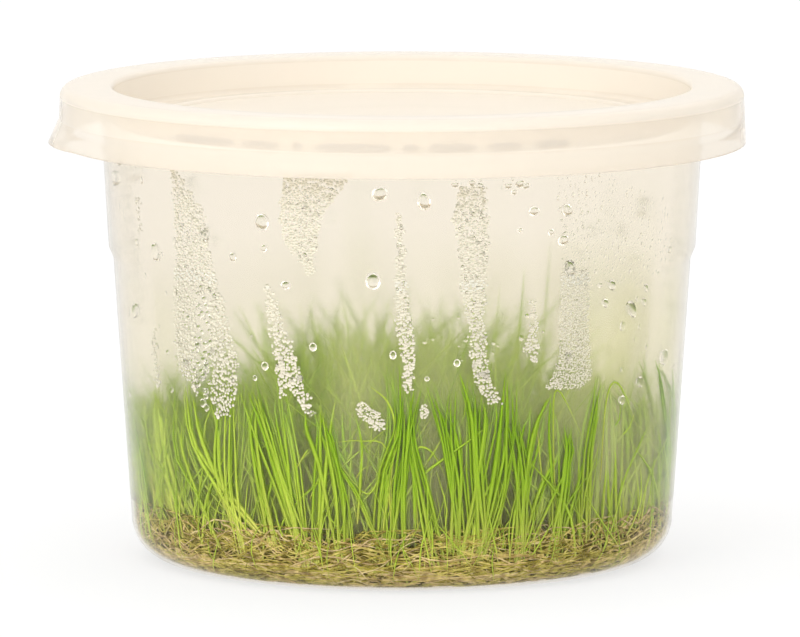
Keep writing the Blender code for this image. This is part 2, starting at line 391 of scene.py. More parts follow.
# Each face takes its plastic: the frosted one, the plug wall's with painted light, the skirt foot's with
# painted shade, or the skirt's.
for face in lid_mesh.polygons:
    reach = math.hypot(face.center.x, face.center.y)
    on_panel = reach < RECESS_RADIUS and face.center.z < PANEL_Z + RECESS_ROUND
    if on_panel or face.center.z > LID_TOP - LID_EDGE_ROUND:
        face.material_index = FROSTED_PLASTIC
    elif reach < plug + RECESS_ROUND:
        face.material_index = PLUG_LIGHTENED_PLASTIC
    elif face.center.z < bead_z:
        face.material_index = SKIRT_FOOT_SHADE_PLASTIC
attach(lid, "root")
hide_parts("lid")


# Root mat: roots and creeping runners that have woven themselves into a felt disc over the tub's floor. A
# felt fills the inside, dark partly with the roots' own colour and partly with painted shade of the deep gaps
# between strands; pale runners and finer roots wind along the wall and on top.
MAT_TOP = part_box("root_mat")[1].z
FELT_INSET = 0.0006
FELT_TOP_DROP = 0.0011
FELT_LUMP = 0.0002
FELT_EDGE_DROP = 0.0006
FELT_STILL_MIDDLE = 0.001
FELT_SEED = 5
FELT_RINGS = 26
FELT_LEVELS = (0.0072, 0.0062, 0.0052, 0.0042, 0.0033, 0.0025, 0.0019, 0.0015, 0.0012)
FELT_FOOT = TUB_FLOOR + FELT_INSET
RUNNER_STEPS = 12
RUNNER_SIDES = 4
WALL_GAP = 0.00004
PICTURE_WIDTH = 800.0
PICTURE_CENTRE = (400.0, 318.5)
PICTURE_FOCUS = CAMERA_LENS / CAMERA_SENSOR * PICTURE_WIDTH
SEARCH_REACH = 0.075
SEARCH_HALVINGS = 26
camera_up = Vector((0.0, math.sin(CAMERA_RISE), math.cos(CAMERA_RISE)))


def room_radius(height, inset):
    """Returns how far from the axis a thing may reach at this height, this far off the tub's inner face."""
    if height < CORNER_RADIUS:
        corner_room = CORNER_RADIUS - TUB_FLOOR - inset
        drop = min(CORNER_RADIUS - height, corner_room)
        return FOOT_RADIUS - CORNER_RADIUS + math.sqrt(corner_room**2 - drop**2)
    return tub_inner_radius(height) - inset


def link_chain(tree, *nodes):
    """Links the first output of each node to the first input of the next."""
    for giver, taker in zip(nodes, nodes[1:]):
        tree.links.new(giver.outputs[0], taker.inputs[0])


def new_tree(name, **sizes):
    """Starts a node tree that takes and gives a mesh, with a named input for each size."""
    tree = bpy.data.node_groups.new(name, "GeometryNodeTree")
    tree.interface.new_socket("Geometry", in_out="INPUT", socket_type="NodeSocketGeometry")
    for label, kind in sizes.items():
        tree.interface.new_socket(label.replace("_", " "), in_out="INPUT", socket_type="NodeSocket" + kind)
    tree.interface.new_socket("Geometry", in_out="OUTPUT", socket_type="NodeSocketGeometry")
    return tree, tree.nodes.new("NodeGroupInput"), tree.nodes.new("NodeGroupOutput")


def named(tree, name, kind):
    """Reads a named attribute in a node tree."""
    node = tree.nodes.new("GeometryNodeInputNamedAttribute")
    node.data_type = kind
    node.inputs["Name"].default_value = name
    return node.outputs["Attribute"]


def strand_tree():
    """Builds the tree that grows a flattened strand along each guide line, as thick as its girth says."""
    tree, given, result = new_tree("strands", Sides="Int", Flatness="Float", Material="Material")
    lines = tree.nodes.new("GeometryNodeMeshToCurve")
    turn = tree.nodes.new("GeometryNodeSetCurveTilt")
    ring = tree.nodes.new("GeometryNodeCurvePrimitiveCircle")
    oval = tree.nodes.new("GeometryNodeTransform")
    squeeze = tree.nodes.new("ShaderNodeCombineXYZ")
    sweep = tree.nodes.new("GeometryNodeCurveToMesh")
    smooth = tree.nodes.new("GeometryNodeSetShadeSmooth")
    real = tree.nodes.new("GeometryNodeRealizeInstances")
    paint = tree.nodes.new("GeometryNodeSetMaterial")
    ring.inputs["Radius"].default_value = 1.0
    squeeze.inputs["X"].default_value = 1.0
    squeeze.inputs["Z"].default_value = 1.0
    sweep.inputs["Fill Caps"].default_value = True
    tree.links.new(given.outputs["Sides"], ring.inputs["Resolution"])
    tree.links.new(given.outputs["Flatness"], squeeze.inputs["Y"])
    tree.links.new(squeeze.outputs["Vector"], oval.inputs["Scale"])
    tree.links.new(named(tree, "turn", "FLOAT"), turn.inputs["Tilt"])
    tree.links.new(named(tree, "girth", "FLOAT"), sweep.inputs["Scale"])
    tree.links.new(given.outputs["Material"], paint.inputs["Material"])
    link_chain(tree, ring, oval)
    tree.links.new(oval.outputs["Geometry"], sweep.inputs["Profile Curve"])
    link_chain(tree, given, lines, turn, sweep, smooth, real, paint, result)
    return tree


def grow(name, guide, tree, **inputs):
    """Runs a node tree on a guide mesh and returns the result as a plain piece."""
    holder = bpy.data.objects.new(name, guide)
    bpy.context.scene.collection.objects.link(holder)
    modifier = holder.modifiers.new("grow", "NODES")
    modifier.node_group = tree
    for socket in tree.interface.items_tree:
        label = socket.name.replace(" ", "_")
        if socket.in_out == "INPUT" and label in inputs:
            modifier[socket.identifier] = inputs[label]
    seen = holder.evaluated_get(bpy.context.evaluated_depsgraph_get())
    mesh = bpy.data.meshes.new_from_object(seen)
    mesh.name = name
    bpy.data.objects.remove(holder, do_unlink=True)
    bpy.data.meshes.remove(guide)
    piece = bpy.data.objects.new(name, mesh)
    bpy.context.scene.collection.objects.link(piece)
    return piece


def guide_lines(name, strands):
    """Makes the guide mesh; each strand is (points, girths, tone, turn at foot, twist to tip)."""
    guide = bpy.data.meshes.new(name)
    points = []
    edges = []
    numbers = {"girth": [], "tone": [], "turn": [], "along": []}
    for route, girths, tone, turn, twist in strands:
        first = len(points)
        points += route
        edges += [(first + step, first + step + 1) for step in range(len(route) - 1)]
        for step, girth in enumerate(girths):
            along = step / (len(route) - 1)
            numbers["girth"].append(girth)
            numbers["tone"].append(tone)
            numbers["turn"].append(turn + twist * along)
            numbers["along"].append(along)
    guide.from_pydata(points, edges, [])
    for label, values in numbers.items():
        guide.attributes.new(label, "FLOAT", "POINT").data.foreach_set("value", values)
    return guide


def smooth_route(stations, steps):
    """Returns points along a smooth curve through the stations, both ends included."""
    ends = [stations[0] * 2 - stations[1], *stations, stations[-1] * 2 - stations[-2]]
    spans = len(stations) - 1
    route = []
    for step in range(steps + 1):
        place = min(step * spans / steps, spans - 1e-6)
        span = int(place)
        t = place - span
        a, b, c, d = ends[span:span + 4]
        point = 2 * b + (c - a) * t
        point += (2 * a - 5 * b + 4 * c - d) * t**2
        point += (3 * b - a - 3 * c + d) * t**3
        route.append(0.5 * point)
    return route


def seen_at(column, row, depth):
    """Returns the point seen at this pixel of the picture that lies this far inside the tub's near wall."""
    across = Vector(((column - PICTURE_CENTRE[0]) / PICTURE_FOCUS, 0.0, 0.0))
    ray = -away + across + camera_up * ((PICTURE_CENTRE[1] - row) / PICTURE_FOCUS)
    near, far = CAMERA_DISTANCE - SEARCH_REACH, CAMERA_DISTANCE
    for _ in range(SEARCH_HALVINGS):
        middle = (near + far) / 2
        point = camera.location + ray * middle
        if math.hypot(point.x, point.y) > room_radius(point.z, depth):
            near = middle
        else:
            far = middle
    return camera.location + ray * far


def keep_inside(point, inset):
    """Moves a point in from the wall or up from the floor, where it lies too near."""
    height = max(point.z, TUB_FLOOR + inset)
    room = room_radius(height, inset)
    reach = math.hypot(point.x, point.y)
    squeeze = min(1.0, room / reach) if reach > 0 else 1.0
    return Vector((point.x * squeeze, point.y * squeeze, height))


def held(value, low, high):
    """Returns a value, held between low and high."""
    return min(max(value, low), high)


def ramp(material, source, *stops):
    """Colours a value socket by (place, colour) stops, where one number stands for a grey."""
    node = material.node_tree.nodes.new("ShaderNodeValToRGB")
    points = node.color_ramp.elements
    while len(points) < len(stops):
        points.new(0.5)
    for point, (place, colour) in zip(points, stops):
        point.position = place
        point.color = (*colour, 1) if isinstance(colour, tuple) else (colour, colour, colour, 1)
    join(material, (source, node.inputs["Fac"]))
    return node.outputs["Color"]


def reads(material, name):
    """Reads one of the mesh's own attributes and returns its value socket."""
    node = material.node_tree.nodes.new("ShaderNodeAttribute")
    node.attribute_name = name
    return node.outputs["Fac"]


def blend_colours(material, way, share, first, second):
    """Mixes two colour sockets and returns the mixed one; share is a socket or a number."""
    node = material.node_tree.nodes.new("ShaderNodeMix")
    node.data_type = "RGBA"
    node.blend_type = way
    for given, socket in ((share, node.inputs[0]), (first, node.inputs[6]), (second, node.inputs[7])):
        if isinstance(given, (float, tuple)):
            socket.default_value = given
        else:
            material.node_tree.links.new(given, socket)
    return node.outputs[2]


felt_paint, felt_shader = new_material("root_felt", Roughness=0.85, Specular_IOR_Level=0.1)
felt_grain = grain(felt_paint, 900.0)
# The felt's dark colour is partly the roots' own and partly painted shade of the deep gaps between strands.
felt_colour_and_gap_shade = ramp(
    felt_paint, felt_grain,
    (0.3, (0.08, 0.070, 0.016)), (0.5, (0.16, 0.145, 0.034)), (0.72, (0.32, 0.28, 0.09)),
)
join(felt_paint, (felt_colour_and_gap_shade, felt_shader.inputs["Base Color"]))
roughen(felt_paint, felt_grain, 0.9, 0.0006)

felt_top = MAT_TOP - FELT_TOP_DROP
felt_profile = [(0.0, felt_top)]
for ring in range(1, FELT_RINGS - 1):
    felt_profile.append((tub_inner_radius(felt_top) * ring / FELT_RINGS, felt_top))
felt_profile += [(room_radius(z, FELT_INSET), z) for z in (felt_top - FELT_EDGE_DROP, *FELT_LEVELS)]
felt_profile += [(0.0, FELT_FOOT)]
felt_mesh = turned_mesh("root_felt", felt_profile)
lumps = random.Random(FELT_SEED)
for vertex in felt_mesh.vertices:
    lump = lumps.uniform(-FELT_LUMP, 0.0)
    if math.hypot(vertex.co.x, vertex.co.y) > FELT_STILL_MIDDLE:
        push_out(vertex, lump)
    vertex.co.z -= lump
felt = add_piece("root_felt", felt_mesh, felt_paint)
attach(felt, "root")
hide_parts("root_mat")

# Kinds of strand along the wall: how many, length, slope, wave height, depth, girth, heights.
WALL_STRANDS = (
    (430, (0.008, 0.030), 0.12, 0.0006, (0.0000, 0.0004), (0.00010, 0.00022), (0.0005, 0.0050)),
    (260, (0.010, 0.030), 0.22, 0.0010, (0.0000, 0.0007), (0.00009, 0.00020), (0.0034, 0.0098)),
    (460, (0.004, 0.012), 0.90, 0.0005, (0.0000, 0.0006), (0.00006, 0.00013), (0.0010, 0.0102)),
    (220, (0.008, 0.020), 0.45, 0.0011, (0.0000, 0.0009), (0.00008, 0.00016), (0.0015, 0.0112)),
)
STRAND_BENDS = (0.6, 2.2)
WAVE_SPREAD = (0.8, 1.2)
STRAND_RISE = 0.0016
# A strand's depth swings about a mean share of its own, at this pace along the strand.
DEPTH_MEAN, DEPTH_SWING, SWING_PACE = 0.6, 0.4, 5
STRAND_END = 0.45
STRAND_TURN = 3
WALL_TONE = (0.52, 0.26)
TOP_TONE = (0.5, 0.2)
TONE_LIMIT = 0.93
# Strands on top of the mat: half length, distance from the axis, arch, girth and drift sideways.
TOP_STRANDS = 190
TOP_REACH = (0.006, 0.016)
TOP_SPREAD = 0.043
TOP_LIFT = (0.0002, 0.0030)
TOP_GIRTH = (0.00012, 0.00028)
TOP_DRIFT = 0.003
# Each route carries two runners side by side; their shifts are in pixels, their depth in metres.
RUNNERS_A_ROUTE = 2
RUNNER_SHIFT = (4, 2.5)
RUNNER_DEPTH = 0.0006
RUNNER_TONE = (0.55, 0.92)
RUNNER_EVENNESS = (0.85, 1.1)
RUNNER_FLATNESS = 0.85
ROOT_SEED = 17
# Routes of the boldest runners on the near side, in pixels of the picture, with their girth.
NEAR_RUNNERS = (
    (0.00034, (303, 571), (318, 557), (345, 550), (372, 554), (384, 562)),
    (0.00030, (306, 574), (330, 565), (352, 560), (378, 566)),
    (0.00028, (398, 561), (426, 562), (455, 560), (470, 551), (484, 546)),
    (0.00032, (400, 568), (430, 569), (462, 563), (500, 556), (540, 556)),
    (0.00024, (500, 556), (535, 558), (580, 560), (622, 553)),
    (0.00026, (178, 545), (215, 545), (252, 542), (276, 547)),
    (0.00026, (190, 552), (225, 560), (262, 562), (300, 566)),
    (0.00024, (168, 538), (186, 552), (216, 566), (248, 575)),
    (0.00024, (560, 572), (600, 566), (634, 556), (655, 540)),
    (0.00026, (250, 577), (300, 582), (356, 585), (410, 586)),
    (0.00026, (420, 584), (480, 583), (540, 578), (590, 569)),
    (0.00028, (230, 566), (270, 574), (312, 578), (350, 579)),
    (0.00026, (330, 589), (380, 591), (430, 590), (470, 588)),
    (0.00024, (470, 574), (520, 571), (560, 567), (600, 560)),
    (0.00026, (350, 574), (390, 577), (430, 575), (470, 577)),
    (0.00024, (290, 587), (330, 584), (372, 588), (400, 586)),
    (0.00022, (160, 548), (190, 562), (222, 573), (260, 580)),
    (0.00022, (540, 582), (580, 574), (615, 564), (645, 550)),
    (0.00024, (430, 580), (470, 579), (505, 583), (545, 574)),
)
strand_way = strand_tree()
runner_paint, runner_shader = new_material("runners", Roughness=0.6, Specular_IOR_Level=0.15)
runner_tones = ramp(
    runner_paint, reads(runner_paint, "tone"),
    (0.0, (0.26, 0.24, 0.04)), (0.3, (0.50, 0.49, 0.10)), (0.55, (0.74, 0.70, 0.23)),
    (0.75, (0.80, 0.66, 0.34)), (0.9, (0.93, 0.87, 0.55)), (1.0, (0.50, 0.27, 0.12)),
)
runner_spots = grain(runner_paint, 700.0)
runner_shade = ramp(runner_paint, runner_spots, (0.35, (0.46, 0.41, 0.33)), (0.6, (0.92, 0.90, 0.86)))
runner_colour = blend_colours(runner_paint, "MULTIPLY", 1.0, runner_tones, runner_shade)
join(runner_paint, (runner_colour, runner_shader.inputs["Base Color"]))
roughen(runner_paint, runner_spots, 0.4, 0.0001)

roots = random.Random(ROOT_SEED)
strands = []
for count, lengths, slope, wave, depths, girths, heights in WALL_STRANDS:
    for _ in range(count):
        length = roots.uniform(*lengths)
        start = roots.uniform(0, math.tau)
        height = roots.uniform(*heights)
        rise = roots.uniform(-slope, slope) * length
        depth = roots.uniform(*depths)
        bends = roots.uniform(*STRAND_BENDS)
        phase = roots.uniform(0, math.tau)
        girth = roots.uniform(*girths)
        route = []
        for step in range(RUNNER_STEPS + 1):
            t = step / RUNNER_STEPS
            swing = wave * roots.uniform(*WAVE_SPREAD) * math.sin(phase + math.tau * bends * t)
            z = held(height + rise * (t - 0.5) + swing, TUB_FLOOR + girth + WALL_GAP, MAT_TOP + STRAND_RISE)
            share = DEPTH_MEAN + DEPTH_SWING * math.sin(phase + SWING_PACE * t)
            r = room_radius(z, WALL_GAP + girth + depth * share)
            route.append(keep_inside(around(r, start + length * t / FOOT_RADIUS, z), girth + WALL_GAP))
        tone = held(roots.gauss(*WALL_TONE), 0.0, TONE_LIMIT)
        widths = [girth * STRAND_END, *[girth] * (RUNNER_STEPS - 1), girth * STRAND_END]
        strands.append((route, widths, tone, roots.uniform(0, STRAND_TURN), 0.0))
for _ in range(TOP_STRANDS):
    heading = roots.uniform(0, math.tau)
    reach = roots.uniform(*TOP_REACH)
    middle = Vector((TOP_SPREAD * math.sqrt(roots.random()), 0, 0))
    middle.rotate(Vector((0, 1, 0)).rotation_difference(around(1, heading * 3)))
    ahead = around(1, heading) * reach
    lift = roots.uniform(*TOP_LIFT)
    girth = roots.uniform(*TOP_GIRTH)
    on_felt = Vector((0, 0, felt_top))
    stations = [middle - ahead + on_felt, middle + Vector((0, 0, felt_top + lift)), middle + ahead + on_felt]
    stations[1] += Vector((roots.uniform(-TOP_DRIFT, TOP_DRIFT), roots.uniform(-TOP_DRIFT, TOP_DRIFT), 0))
    route = [keep_inside(point, girth + WALL_GAP) for point in smooth_route(stations, RUNNER_STEPS)]
    tone = held(roots.gauss(*TOP_TONE), 0.0, TONE_LIMIT)
    strands.append((route, [girth] * (RUNNER_STEPS + 1), tone, 0.0, 0.0))
for girth, *stations in NEAR_RUNNERS:
    for _ in range(RUNNERS_A_ROUTE):
        depth = roots.uniform(0.0, RUNNER_DEPTH) + girth + WALL_GAP
        points = []
        for column, row in stations:
            column += roots.uniform(-RUNNER_SHIFT[0], RUNNER_SHIFT[0])
            row += roots.uniform(-RUNNER_SHIFT[1], RUNNER_SHIFT[1])
            points.append(seen_at(column, row, depth))
        route = [keep_inside(point, girth + WALL_GAP) for point in smooth_route(points, 2 * RUNNER_STEPS)]
        girths = [girth * roots.uniform(*RUNNER_EVENNESS) for _ in route]
        strands.append((route, girths, roots.uniform(*RUNNER_TONE), 0.0, 0.0))
runners = grow(
    "roots_and_runners", guide_lines("runner_guide", strands), strand_way,
    Sides=RUNNER_SIDES, Flatness=RUNNER_FLATNESS, Material=runner_paint,
)
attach(runners, "root")
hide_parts("root_mat")


# Grass: needle-like blades in small clumps, each clump rising from one joint of a runner. They are juicy,
# paler at the foot, and lean on each other and on the wall.
BLADE_STEPS = 8
BLADE_SIDES = 4
BLADE_FLATNESS = 0.55
BLADE_GIRTH = (0.00025, 0.00041)
CLUMP_BLADES = (6, 10)
CLUMP_SPACING = 0.0041
CLUMP_FAN = math.radians(15)
BLADE_LENGTH = (0.017, 0.033)
FRONT_STRIP = 0.0060
SHEAF_FULLNESS = 1.35
SHOOTS = 1150
LEANING_BLADES = 260
SHOOT_LENGTH = (0.006, 0.017)
SHOOT_GIRTH = (0.00010, 0.00017)
SHOOT_STEPS = 6
GRASS_SEED = 29
# A blade's width grows from a share at its foot to full, then thins from its middle to its tip.
BLADE_FOOT, BLADE_FULL, BLADE_TAPER = 0.6, 0.25, 0.5
TIP_THINNING, TIP_CURVE = 0.93, 1.8
BLADE_ROOM = 0.6
BLADE_TURN, BLADE_TWIST = 3, 1.2
# How a blade in a sheaf differs from the sheaf's middle blade. Spreads at foot and tip are shares
# of the sheaf's own, sways are in pixels, and depths behind the wall are in metres.
SHEAF_FOOT = (0.62, 1.3)
SHEAF_TIP = (0.3, 0.6, 0.85)
SHEAF_CUT = 0.34
SHEAF_SWAY = (3.5, 4.0)
SHEAF_SHAKE = (2, 3)
SHEAF_DEPTHS = (0.3, 0.0010, 0.0022)
SHEAF_FOOT_DEPTH = 0.3
LONE_BLADES = 3
BEHIND_SHARE, BEHIND_DEPTH, BEHIND_SHADE = 0.4, 0.0016, 0.15
# Towards the sides of the picture, sheaves stand farther in; to the right, they are deeper green.
MIDDLE_COLUMN = 395
SIDE_COLUMNS, SIDE_DEPTH, SIDE_SHADE = (190, 60), 0.0014, 0.7
DEEP_COLUMNS, DEEP_SHADE = (240, 160), 0.70
SHEAF_TONE = (0.30, 0.88)
# Young shoots in the ring at the wall: where they stand, how they lean and bend, their tone.
SHOOT_REACH, SHOOT_RING = 0.0458, 0.006
SHOOT_FOOT = (0.0015, 0.0085)
SHOOT_LEAN, SHOOT_BEND = 0.38, 0.16
SHOOT_TONE = (0.5, 1.0)
# Blades that lean along the wall, likewise, with the droop of their tips.
LEANING_REACH, LEANING_RING = 0.0462, 0.0022
LEANING_FOOT = (0.004, 0.009)
LEANING_SLANT = (0.36, 0.7)
LEANING_LENGTH = (0.013, 0.024)
LEANING_DROOP = 0.22
LEANING_GIRTH, LEANING_TONE = 0.8, (0.3, 0.9)
# The lawn: its clumps' places and their blades, which are shorter at the left and right.
LAWN_RADIUS = 0.0452
LAWN_TRIES = 9000
FRONT_HALF_WIDTH = 0.0415
CLOSEST_CLUMPS = 0.85
CLUMP_RADIUS = 0.0008
CLUMP_FOOT = (0.006, 0.009)
CLUMP_LEAN, CLUMP_BEND = 0.10, 0.12
CLUMP_HEIGHT = (0.92, 1.12)
LAWN_MIDDLE, LAWN_SHOULDERS, SHOULDER_DROP = -0.001, (0.017, 0.008), 0.24
CLUMP_GIRTH, CLUMP_TONE = 0.95, (0.0, 0.8)
# How much of its lean and of its bend a blade of the lawn shows at its middle, then at its tip.
LAWN_CURVE = ((0.8, 0.3), (1.2, 1.6))
# Sheaves at the near wall: blades, spread in pixels at foot and tip, depth behind the wall in
# metres, and the route of the middle blade from foot to tip, in pixels of the picture.
NEAR_SHEAVES = (
    (6, 12, 10, 0.0022, (150, 508), (142, 456), (139, 420), (137, 388)),
    (10, 14, 12, 0.0016, (176, 532), (159, 474), (153, 430), (151, 393)),
    (8, 12, 9, 0.0020, (194, 538), (172, 482), (161, 430), (158, 384)),
    (8, 12, 9, 0.0018, (208, 548), (182, 492), (171, 442), (168, 400)),
    (5, 6, 5, 0.0012, (222, 548), (205, 500), (184, 455), (181, 390)),
    (7, 8, 6, 0.0008, (254, 534), (222, 490), (196, 440), (189, 377)),
    (4, 8, 8, 0.0016, (264, 546), (228, 505), (199, 462), (186, 410)),
    (3, 4, 4, 0.0014, (232, 522), (215, 470), (212, 430), (212, 393)),
    (10, 10, 9, 0.0005, (240, 552), (231, 490), (233, 430), (238, 373)),
    (14, 10, 13, 0.0004, (306, 570), (284, 490), (266, 430), (254, 387)),
    (6, 8, 7, 0.0008, (272, 548), (256, 480), (249, 430), (252, 381)),
    (4, 5, 5, 0.0009, (309, 562), (296, 480), (287, 425), (280, 371)),
    (3, 4, 4, 0.0013, (300, 556), (290, 480), (280, 420), (274, 369)),
    (2, 3, 3, 0.0015, (340, 560), (324, 470), (313, 430), (306, 404)),
    (6, 6, 5, 0.0006, (318, 564), (320, 500), (321, 440), (325, 395)),
    (10, 9, 9, 0.0005, (345, 570), (341, 500), (331, 445), (322, 407)),
    (6, 8, 6, 0.0008, (384, 562), (358, 495), (338, 465), (325, 430)),
    (2, 2, 2, 0.0020, (358, 522), (356, 478), (353, 440), (349, 404)),
    (11, 9, 7, 0.0005, (379, 574), (384, 480), (396, 430), (391, 362)),
    (11, 12, 9, 0.0004, (404, 580), (402, 500), (406, 430), (405, 384)),
    (7, 9, 6, 0.0006, (392, 567), (398, 490), (410, 430), (419, 382)),
    (7, 8, 6, 0.0007, (440, 567), (424, 495), (413, 440), (415, 399)),
    (7, 7, 6, 0.0006, (464, 562), (455, 490), (443, 430), (429, 382)),
    (6, 7, 6, 0.0008, (452, 554), (457, 480), (452, 430), (447, 391)),
    (9, 7, 6, 0.0004, (482, 562), (476, 480), (472, 415), (461, 370)),
    (7, 7, 7, 0.0007, (487, 547), (483, 480), (480, 430), (482, 389)),
    (5, 6, 5, 0.0009, (462, 557), (478, 480), (488, 425), (489, 390)),
    (10, 9, 7, 0.0005, (478, 558), (497, 490), (506, 435), (510, 367)),
    (4, 5, 5, 0.0009, (498, 522), (502, 470), (500, 430), (499, 399)),
    (8, 7, 6, 0.0006, (518, 562), (521, 490), (514, 440), (508, 414)),
    (4, 5, 5, 0.0010, (522, 547), (521, 480), (526, 435), (531, 403)),
    (4, 5, 4, 0.0009, (524, 554), (529, 490), (538, 430), (549, 394)),
    (3, 4, 4, 0.0010, (550, 530), (551, 480), (552, 430), (553, 386)),
    (10, 8, 7, 0.0006, (556, 562), (566, 495), (571, 455), (568, 423)),
    (6, 8, 6, 0.0010, (528, 547), (545, 492), (560, 455), (566, 429)),
    (7, 9, 7, 0.0012, (585, 542), (588, 460), (594, 410), (599, 373)),
    (7, 10, 8, 0.0013, (605, 547), (606, 470), (607, 415), (609, 375)),
    (6, 9, 9, 0.0014, (628, 532), (630, 460), (627, 410), (612, 375)),
    (10, 16, 12, 0.0020, (655, 532), (652, 470), (648, 420), (645, 394)),
    (8, 12, 10, 0.0018, (625, 542), (640, 480), (650, 430), (655, 399)),
    (2, 3, 3, 0.0016, (660, 505), (655, 430), (648, 385), (637, 340)),
    (2, 3, 3, 0.0016, (672, 490), (667, 420), (662, 380), (655, 357)),
    (2, 3, 3, 0.0016, (678, 480), (677, 430), (673, 395), (665, 367)),
)
# Single blades that bend, droop or have been kinked: girth, tone and route in pixels.
STRAY_STEPS = 14
STRAY_DEPTH = 0.0009
STRAY_BLADES = (
    (0.00022, 0.9, (386, 520), (395, 437), (389, 404), (370, 386)),
    (0.00020, 0.9, (392, 540), (388, 452), (360, 441), (331, 443)),
    (0.00018, 1.0, (392, 540), (386, 470), (366, 494), (327, 446)),
    (0.00026, 0.6, (418, 530), (414, 456), (430, 450), (446, 477)),
    (0.00024, 0.6, (556, 520), (553, 430), (558, 390), (587, 448)),
    (0.00024, 0.6, (600, 480), (606, 400), (618, 384), (638, 430)),
    (0.00014, 1.0, (356, 478), (362, 470), (372, 464)),
    (0.00014, 1.0, (310, 499), (316, 485), (322, 470)),
    (0.00016, 0.9, (205, 500), (216, 510), (232, 516), (250, 505)),
    (0.00014, 1.0, (296, 470), (304, 455), (310, 448)),
    (0.00018, 0.9, (537, 430), (543, 483), (551, 450)),
)
# Long thin blades farther back, which rise above the rest: girth, tone and route in pixels.
BACK_STEPS = 12
BACK_DEPTH = 0.024
BACK_BLADES = (
    (0.00014, 0.6, (536, 470), (544, 330), (551, 240)),
    (0.00014, 0.5, (512, 470), (519, 340), (525, 262)),
    (0.00012, 0.7, (500, 470), (496, 350), (500, 282)),
    (0.00014, 0.5, (468, 470), (474, 350), (470, 276)),
    (0.00012, 0.6, (388, 470), (384, 350), (390, 288)),
    (0.00014, 0.5, (345, 470), (350, 360), (343, 300)),
)

grass_paint, grass_shader = new_material("grass", Roughness=0.45, Specular_IOR_Level=0.18)
grass_run = ramp(
    grass_paint, reads(grass_paint, "along"),
    (0.0, (0.62, 0.56, 0.19)), (0.14, (0.58, 0.66, 0.12)), (0.36, (0.45, 0.67, 0.050)),
    (0.8, (0.34, 0.60, 0.024)), (1.0, (0.44, 0.66, 0.045)),
)
grass_deep = (0.15, 0.38, 0.010, 1.0)
grass_pale = (0.76, 0.90, 0.19, 1.0)
grass_tone = ramp(grass_paint, reads(grass_paint, "tone"), (0.0, 0.0), (1.0, 1.0))
grass_range = blend_colours(grass_paint, "MIX", grass_tone, grass_deep, grass_pale)
grass_mixed = blend_colours(grass_paint, "MIX", 0.42, grass_run, grass_range)
grass_streaks = grain(grass_paint, 1.0, (3800, 3800, 160), 1.0)
streak_shade = ramp(grass_paint, grass_streaks, (0.35, (0.82, 0.85, 0.70)), (0.62, 1.0))
grass_colour = blend_colours(grass_paint, "MULTIPLY", 1.0, grass_mixed, streak_shade)
join(grass_paint, (grass_colour, grass_shader.inputs["Base Color"]))
roughen(grass_paint, grass_streaks, 0.35, 0.00008)

meadow = random.Random(GRASS_SEED)
tufts = {node: (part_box(node)[0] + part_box(node)[1]) / 2 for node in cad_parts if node.startswith("tuft")}
blades = {node: [] for node in tufts}


def share_past(value, start, width):
    """Returns how far a value is past start, as a share of width, held between 0 and 1."""
    return held((value - start) / width, 0.0, 1.0)


def blade_girths(girth, steps):
    """Returns the half width along a blade: slim at the foot, full in the middle, pointed at the tip."""
    girths = []
    for step in range(steps + 1):
        t = step / steps
        foot = BLADE_FOOT + (1 - BLADE_FOOT) * share_past(t, 0, BLADE_FULL)
        tip = share_past(t, BLADE_TAPER, 1 - BLADE_TAPER) ** TIP_CURVE
        girths.append(girth * foot * (1 - TIP_THINNING * tip))
    return girths


def plant(stations, girth, tone, steps=BLADE_STEPS):
    """Adds one blade through these points to the tuft whose place is nearest to its foot."""
    route = [keep_inside(point, girth * BLADE_ROOM + WALL_GAP) for point in smooth_route(stations, steps)]
    foot = route[0]
    node = min(tufts, key=lambda name: math.hypot(tufts[name].x - foot.x, tufts[name].y - foot.y))
    turn = meadow.uniform(0, BLADE_TURN)
    twist = meadow.uniform(-BLADE_TWIST, BLADE_TWIST)
    blades[node].append((route, blade_girths(girth, steps), tone, turn, twist))


def scattered(spread, height):
    """Returns a vector of this height with chance sideways parts."""
    return Vector((meadow.gauss(0, spread), meadow.gauss(0, spread), height))


for count, foot_spread, tip_spread, depth, *stations in NEAR_SHEAVES:
    for _ in range(round(count * SHEAF_FULLNESS)):
        foot_side = held(meadow.gauss(0.0, SHEAF_FOOT[0]), -SHEAF_FOOT[1], SHEAF_FOOT[1])
        tip_side = SHEAF_TIP[0] * foot_side + meadow.gauss(0.0, SHEAF_TIP[1])
        cut = meadow.random() ** 2 * SHEAF_CUT
        behind = meadow.random() < BEHIND_SHARE
        aside = share_past(abs(stations[1][0] - MIDDLE_COLUMN), *SIDE_COLUMNS) * (count > LONE_BLADES)
        near = depth * SHEAF_DEPTHS[0] + meadow.random() ** 1.5 * SHEAF_DEPTHS[1]
        near = near + BEHIND_DEPTH * behind + SIDE_DEPTH * aside
        fall = meadow.random() ** 2 * SHEAF_DEPTHS[2]
        belly = meadow.gauss(0.0, SHEAF_SWAY[0])
        sway = meadow.gauss(0.0, SHEAF_SWAY[1])
        deepness = share_past(stations[1][0], *DEEP_COLUMNS) - SIDE_SHADE * aside
        points = []
        for place, (column, row) in enumerate(stations):
            share = place / (len(stations) - 1)
            spread = (foot_spread - 1) * foot_side * (1 - share)
            spread += SHEAF_TIP[2] * tip_spread * tip_side * share
            if place == len(stations) - 1:
                column += (stations[-2][0] - column) * cut * 2
                row += (stations[-2][1] - row) * cut * 2
            column = column + spread + sway * share**2 + belly * math.sin(math.pi * share)
            column += meadow.uniform(-SHEAF_SHAKE[0], SHEAF_SHAKE[0])
            row += meadow.uniform(-SHEAF_SHAKE[1], SHEAF_SHAKE[1])
            inside = near if place else near * SHEAF_FOOT_DEPTH
            points.append(seen_at(column, row, inside + fall * share**2))
        girth = meadow.uniform(*BLADE_GIRTH)
        plant(points, girth, meadow.uniform(*SHEAF_TONE) - DEEP_SHADE * deepness - BEHIND_SHADE * behind)
